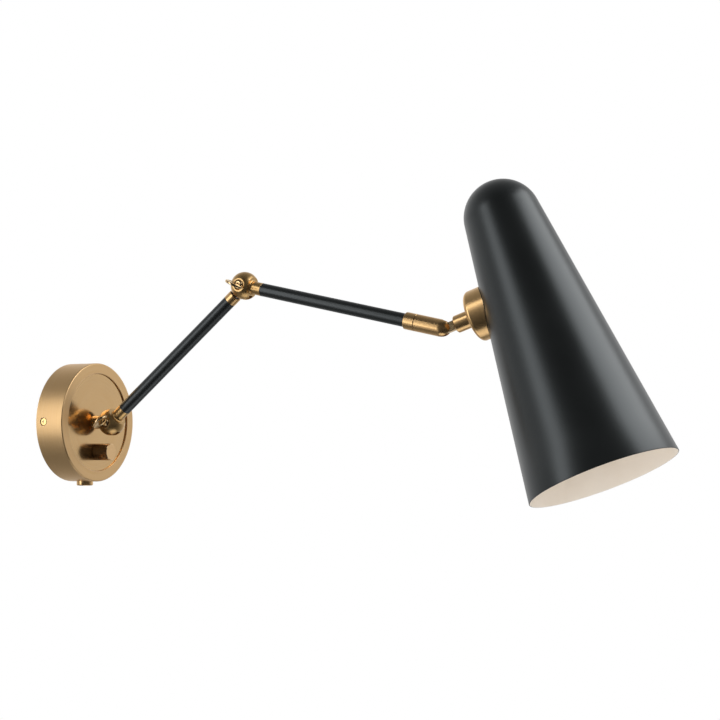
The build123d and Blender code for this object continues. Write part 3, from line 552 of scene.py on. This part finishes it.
def finishPiece(piece, place, materials, body, replaced, smoothAngle=35):
    # into the object's frame, smooth, dressed and riding on its body
    if piece.mode != "OBJECT":
        bpy.ops.object.mode_set(mode="OBJECT")
    piece.matrix_world = place
    clearSelection()
    piece.select_set(True)
    bpy.context.view_layer.objects.active = piece
    bpy.ops.object.transform_apply(location=True, rotation=True, scale=True)
    bpy.ops.object.shade_smooth_by_angle(angle=radians(smoothAngle))
    for material in materials:
        if material.name not in piece.data.materials:
            piece.data.materials.append(material)
    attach(piece, body)
    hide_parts(*replaced)
    print("made", piece.name, len(piece.data.polygons), "faces")


shadeShape = {
    "mouthRadius": 0.0678,
    "mouthAt": 0.1767,  # metres along the shade's axis, from the stem's line
    "domeCentre": -0.0757,
    "taper": 7.32,  # degrees
    "wall": 0.001,
    "lip": 0.00035,  # rounding of the rim
    "around": 160,
    "conePieces": 8,
    "domeRings": 18,
}


def shadeRings(domeRadius, taper):
    # radius and place of each ring, from the mouth up the cone and over the dome
    shape = shadeShape
    mouth, mouthAt, centre = shape["mouthRadius"], shape["mouthAt"], shape["domeCentre"]
    shoulder, shoulderAt = domeRadius * cos(taper), centre - domeRadius * sin(taper)
    rings = []
    for n in range(1, shape["conePieces"] + 1):
        share = n / shape["conePieces"]
        rings.append((mouth + (shoulder - mouth) * share, mouthAt + (shoulderAt - mouthAt) * share))
    for n in range(1, shape["domeRings"]):
        angle = taper + (pi / 2 - taper) * n / shape["domeRings"]
        rings.append((domeRadius * cos(angle), centre - domeRadius * sin(angle)))
    return rings


def makeShade():
    # a circle drawn up from the mouth ring by ring, then given its wall and its cream inside
    shape = shadeShape
    taper = radians(shape["taper"])
    radius, along = shape["mouthRadius"], shape["mouthAt"]
    domeRadius = (radius - (along - shape["domeCentre"]) * tan(taper)) * cos(taper)
    clearSelection()
    bpy.ops.mesh.primitive_circle_add(vertices=shape["around"], radius=radius, location=(0, 0, along))
    bpy.ops.object.transform_apply(location=True, rotation=False, scale=False)
    piece = startPiece("shadeShell")
    bpy.ops.mesh.select_all(action="SELECT")
    for nextRadius, nextAlong in shadeRings(domeRadius, taper):
        narrower = nextRadius / radius
        bpy.ops.mesh.extrude_region_move(TRANSFORM_OT_translate={"value": (0, 0, nextAlong - along)})
        bpy.ops.transform.resize(value=(narrower, narrower, 1), center_override=(0, 0, nextAlong))
        radius, along = nextRadius, nextAlong
    top = shape["domeCentre"] - domeRadius
    bpy.ops.mesh.extrude_region_move(TRANSFORM_OT_translate={"value": (0, 0, top - along)})
    bpy.ops.mesh.merge(type="CENTER")
    bpy.ops.mesh.select_all(action="SELECT")
    bpy.ops.mesh.normals_make_consistent(inside=False)
    bpy.ops.object.mode_set(mode="OBJECT")
    outside = coatMaterial("shadePaint", blackPaint)
    inside = coatMaterial("shadeCream", creamPaint)
    piece.data.materials.append(outside)
    piece.data.materials.append(inside)
    applyModifier(
        piece,
        "SOLIDIFY",
        thickness=shape["wall"],
        offset=-1.0,
        use_even_offset=True,
        use_rim=True,
        material_offset=1,
        material_offset_rim=0,
    )
    sharp = radians(60)
    applyModifier(piece, "BEVEL", width=shape["lip"], segments=3, limit_method="ANGLE", angle_limit=sharp)
    finishPiece(piece, shadePlace, [outside, inside], "head", ["shade"])


makeShade()


keyShape = {
    "wingCentre": 0.0198,  # metres out from the ball's centre
    "halfWidth": 0.0094,
    "halfLength": 0.0082,
    "thick": 0.0025,
    "rim": 0.0017,
    "dish": 0.0007,
    "dishSlope": 0.0008,
    "dishFloor": 0.0022,
    "edge": 0.0009,
    "hubRadius": 0.0044,
    "hubFrom": 0.00835,
    "hubTo": 0.0131,
    "hubEdge": 0.0016,
    "shankRadius": 0.002,
    "shankLength": 0.017,
    "shankMiddle": 0.0001,
    "shankEdge": 0.0004,
    "turns": {"key_1": 38.0, "key_2": 154.0},  # degrees
}


def isRimEdge(edge, height):
    # a sharp edge between a face of the wing and its side
    return abs(abs(middle(edge).z) - height) < 1e-5 and edge.is_manifold and edge.calc_face_angle(0) > 1.0


def makeKeyWing(name):
    # a dished oval on the end of the stem, edge-on to the ball
    shape = keyShape
    clearSelection()
    bpy.ops.mesh.primitive_cylinder_add(vertices=40, radius=1, depth=shape["thick"], end_fill_type="NGON")
    piece = startPiece(name + "_wing")
    bpy.ops.mesh.select_all(action="SELECT")
    bpy.ops.transform.resize(value=(shape["halfWidth"], shape["halfLength"], 1))
    for side in (1, -1):
        pick(piece, "FACE", lambda face: face.normal.z * side > 0.9)
        bpy.ops.mesh.inset(thickness=shape["rim"], depth=0)
        bpy.ops.mesh.inset(thickness=shape["dishSlope"], depth=-shape["dish"])
        bpy.ops.mesh.inset(thickness=shape["dishFloor"], depth=0)
    pick(piece, "EDGE", lambda edge: isRimEdge(edge, shape["thick"] / 2))
    bpy.ops.mesh.bevel(offset=shape["edge"], segments=3, profile=0.6)
    bpy.ops.object.mode_set(mode="OBJECT")
    piece.matrix_world = Matrix.Translation((0, 0, shape["wingCentre"])) @ Matrix.Rotation(pi / 2, 4, "X")
    bpy.ops.object.transform_apply(location=True, rotation=True, scale=True)
    return piece


def makeKeyHub(name):
    # the round head that carries the wing
    shape = keyShape
    bpy.ops.mesh.primitive_cylinder_add(
        vertices=40,
        radius=shape["hubRadius"],
        depth=shape["hubTo"] - shape["hubFrom"],
        location=(0, 0, (shape["hubTo"] + shape["hubFrom"]) / 2),
    )
    hub = startPiece(name + "_hub")
    pick(hub, "FACE", lambda face: face.normal.z > 0.9)
    bpy.ops.mesh.bevel(offset=shape["hubEdge"], segments=5, profile=0.5)
    bpy.ops.object.mode_set(mode="OBJECT")
    bpy.ops.object.transform_apply(location=True, rotation=True, scale=True)
    return hub


def makeKeyShank(name):
    # the stud that holds it in the ball
    shape = keyShape
    bpy.ops.mesh.primitive_cylinder_add(
        vertices=24,
        radius=shape["shankRadius"],
        depth=shape["shankLength"],
        location=(0, 0, shape["shankMiddle"]),
    )
    shank = startPiece(name + "_shank")
    pick(shank, "FACE", lambda face: face.normal.z < -0.9)
    bpy.ops.mesh.bevel(offset=shape["shankEdge"], segments=1)
    bpy.ops.object.mode_set(mode="OBJECT")
    bpy.ops.object.transform_apply(location=True, rotation=True, scale=True)
    return shank


def makeKey(name, pivot):
    # z leads away from the ball, x is the wing's long way
    turn = radians(keyShape["turns"][name])
    wingDirection = Vector((0, -cos(turn), sin(turn)))
    piece = makeKeyWing(name)
    hub = makeKeyHub(name)
    shank = makeKeyShank(name)
    clearSelection()
    for part in (shank, hub, piece):
        part.select_set(True)
    bpy.context.view_layer.objects.active = piece
    bpy.ops.object.join()
    applyModifier(piece, "SUBSURF", levels=1, render_levels=1)
    place = placeAt(pivot, Vector((-1, 0, 0)), wingDirection)
    material = brassMaterial(name + "Brass", placeAt(pivot, wingDirection, acrossWall), keyBrass)
    finishPiece(piece, place, [material], name, [name], 60)


makeKey("key_1", pivotOne)
makeKey("key_2", pivotTwo)


knobShape = {
    "radius": 0.0084,
    "from": 0.0304,  # metres out from the wall
    "to": 0.0474,
    "ridges": 64,
    "ridgeDepth": 0.00022,
    "plainBand": 0.0011,
    "ridgeStop": 0.0015,
    "frontBand": 0.002,
    "edge": 0.0006,
    "cavityRadius": 0.0063,
    "cavityDepth": 0.0035,
    "boreRadius": 0.003,
    "boreDepth": 0.01,
}


def isSideFace(face, low, high):
    return abs(face.normal.z) < 0.1 and low < middle(face).z < high


def makeKnob():
    # a straight-knurled barrel with a plain front band, a flat bright end and a hollow back
    shape = knobShape
    long = shape["to"] - shape["from"]
    facet = pi / shape["ridges"] / 2
    clearSelection()
    bpy.ops.mesh.primitive_cylinder_add(
        vertices=2 * shape["ridges"], radius=shape["radius"], depth=long, location=(0, 0, long / 2)
    )
    bpy.ops.object.transform_apply(location=True, rotation=True, scale=True)
    piece = startPiece("knobBarrel")
    pick(piece, "FACE", lambda face: face.normal.z > 0.9)
    bpy.ops.mesh.inset(thickness=shape["edge"], depth=0)
    rimFrom = shape["radius"] * 0.97
    pick(piece, "EDGE", lambda edge: middle(edge).z > long - 1e-6 and middle(edge).xy.length > rimFrom)
    bpy.ops.transform.translate(value=(0, 0, -shape["edge"]))
    for height in (long - shape["edge"] - shape["plainBand"], shape["plainBand"]):
        bpy.ops.mesh.select_all(action="SELECT")
        bpy.ops.mesh.bisect(plane_co=(0, 0, height), plane_no=(0, 0, 1))
    ridgeEnd = long - shape["ridgeStop"]
    pick(piece, "FACE", lambda face: face.index % 2 and isSideFace(face, shape["plainBand"], ridgeEnd))
    bpy.ops.mesh.extrude_faces_move(TRANSFORM_OT_shrink_fatten={"value": -shape["ridgeDepth"]})
    pick(piece, "FACE", lambda face: face.normal.z < -0.9 and middle(face).xy.length < 0.001)
    bpy.ops.mesh.inset(thickness=shape["radius"] * cos(facet) - shape["cavityRadius"], depth=0)
    bpy.ops.mesh.extrude_region_move(TRANSFORM_OT_translate={"value": (0, 0, shape["cavityDepth"])})
    bpy.ops.mesh.inset(thickness=shape["cavityRadius"] - shape["boreRadius"], depth=0)
    bpy.ops.mesh.extrude_region_move(TRANSFORM_OT_translate={"value": (0, 0, shape["boreDepth"])})
    bpy.ops.mesh.select_all(action="SELECT")
    bpy.ops.mesh.remove_doubles(threshold=1e-6)
    bpy.ops.mesh.normals_make_consistent(inside=False)
    bpy.ops.object.mode_set(mode="OBJECT")
    barrel = brassMaterial("knobBarrelBrass", knobPlace, barrelBrass)
    front = brassMaterial("knobFrontBrass", knobPlace, frontBrass)
    piece.data.materials.append(barrel)
    piece.data.materials.append(front)
    for face in piece.data.polygons:
        face.material_index = int(face.normal.z > 0.5 and face.center.z > long - shape["frontBand"])
    place = knobPlace @ Matrix.Translation((0, 0, shape["from"] + knobBase.y))
    finishPiece(piece, place, [barrel, front], "knob", ["knob"], 30)


makeKnob()


cameraShape = {
    "place": (-1.283951, -0.982057, -0.021380),
    "right": (0.453213, -0.891402, 0.0),
    "up": (-0.047895, -0.024351, 0.998556),
    "lens": 77.5,
}


def makeCamera():
    bpy.ops.object.camera_add()
    camera = bpy.context.object
    camera.name = "photoCamera"
    right = Vector(cameraShape["right"]).normalized()
    up = Vector(cameraShape["up"]).normalized()
    place = Matrix((right, up, right.cross(up))).transposed().to_4x4()
    place.translation = cameraShape["place"]
    camera.matrix_world = place
    camera.data.lens = cameraShape["lens"]
    camera.data.sensor_width = 36.0
    camera.data.sensor_fit = "HORIZONTAL"
    camera.data.clip_end = 50.0
    bpy.context.scene.camera = camera


lightShapes = {
    "leftBox": {"from": -62.0, "rise": 9.0, "distance": 2.2, "size": (0.8, 2.3), "strength": 2.4},
    "lowBox": {"from": -60.0, "rise": -31.0, "distance": 2.2, "size": (0.9, 1.0), "strength": 0.5},
    "rightBox": {"from": 80.0, "rise": 38.0, "distance": 2.2, "size": (2.1, 1.5), "strength": 2.9},
}
studioMiddle = Vector((0, -0.3, 0.05))


def makeLights():
    # each softbox stands at an angle round the object from the camera, which is at 0
    back = Vector(cameraShape["place"]) - studioMiddle
    back.z = 0
    back.normalize()
    for name, shape in lightShapes.items():
        level = Matrix.Rotation(radians(shape["from"]), 3, "Z") @ back
        direction = level * cos(radians(shape["rise"])) + Vector((0, 0, sin(radians(shape["rise"]))))
        bpy.ops.object.light_add(type="AREA", location=studioMiddle + direction * shape["distance"])
        lamp = bpy.context.object
        lamp.name = name
        lamp.rotation_euler = direction.to_track_quat("Z", "Y").to_euler()
        lamp.data.shape = "RECTANGLE"
        lamp.data.size, lamp.data.size_y = shape["size"]
        lamp.data.energy = shape["strength"] * pi * shape["size"][0] * shape["size"][1]
        lamp.visible_camera = False


# a tone is (value at the start, value at the end, start, end) over a stretch of directions
worldShape = {
    "ambient": 0.95,
    "background": 1.0,
    "sweep": (0.05, 0.95, -0.45, 0.9),
    "ceiling": (1.0, 0.4, 0.3, 0.9),
    "floorTone": (0.32, 1.0, -0.75, 0.0),
}


def makeWorld():
    # white where the camera looks, a dim studio where metal reflects the rest of the room
    world = bpy.data.worlds.new("studio")
    bpy.context.scene.world = world
    world.use_nodes = True
    tree = world.node_tree
    background = tree.nodes["Background"]
    rays = addNode(tree, "ShaderNodeLightPath")
    direction = addNode(tree, "ShaderNodeTexCoord").outputs["Generated"]
    back = (Vector(cameraShape["place"]) - studioMiddle).normalized()
    behind = vectorWork(tree, "DOT_PRODUCT", direction, tuple(-back)).outputs["Value"]
    sweep = spread(tree, behind, *worldShape["sweep"])
    height = addNode(tree, "ShaderNodeSeparateXYZ", Vector=direction).outputs["Z"]
    ceiling = spread(tree, height, *worldShape["ceiling"])
    floorTone = spread(tree, height, *worldShape["floorTone"])
    tone = calculate(tree, "MULTIPLY", calculate(tree, "MULTIPLY", sweep, ceiling), floorTone)
    glossy = calculate(tree, "MAXIMUM", rays.outputs["Is Glossy Ray"], rays.outputs["Is Transmission Ray"])
    level = mixNumber(tree, glossy, worldShape["ambient"], tone)
    seen = mixNumber(tree, rays.outputs["Is Camera Ray"], level, worldShape["background"])
    background.inputs["Color"].default_value = (1, 1, 1, 1)
    tree.links.new(seen, background.inputs["Strength"])


floorShape = {
    "below": 1.4,
    "radius": 0.55,
    "middle": (0.1, -0.25),
    "light": (0.9, 0.9, 0.9),
    "dark": (0.86, 0.86, 0.86),
    "pits": 300.0,
    "clouds": 2.0,
    "rough": 0.8,
}


def makeFloor():
    shape = floorShape
    clearSelection()
    bpy.ops.mesh.primitive_circle_add(
        vertices=96, radius=shape["radius"], fill_type="NGON", location=(*shape["middle"], -shape["below"])
    )
    floor = bpy.context.object
    floor.name = "studioFloor"
    bpy.ops.object.transform_apply(location=True, rotation=True, scale=True)
    material, tree, shader, coordinates = newMaterial("floorPaint")
    grain = useGrain(tree, coordinates, shape)
    colour = mixColour(tree, grain.outputs["Cloud"], solid(shape["dark"]), solid(shape["light"]))
    tree.links.new(colour, shader.inputs["Base Color"])
    shader.inputs["Roughness"].default_value = shape["rough"]
    floor.data.materials.append(material)


makeCamera()
makeLights()
makeWorld()
makeFloor()
bpy.context.scene.view_settings.view_transform = "Standard"
print("studio set")
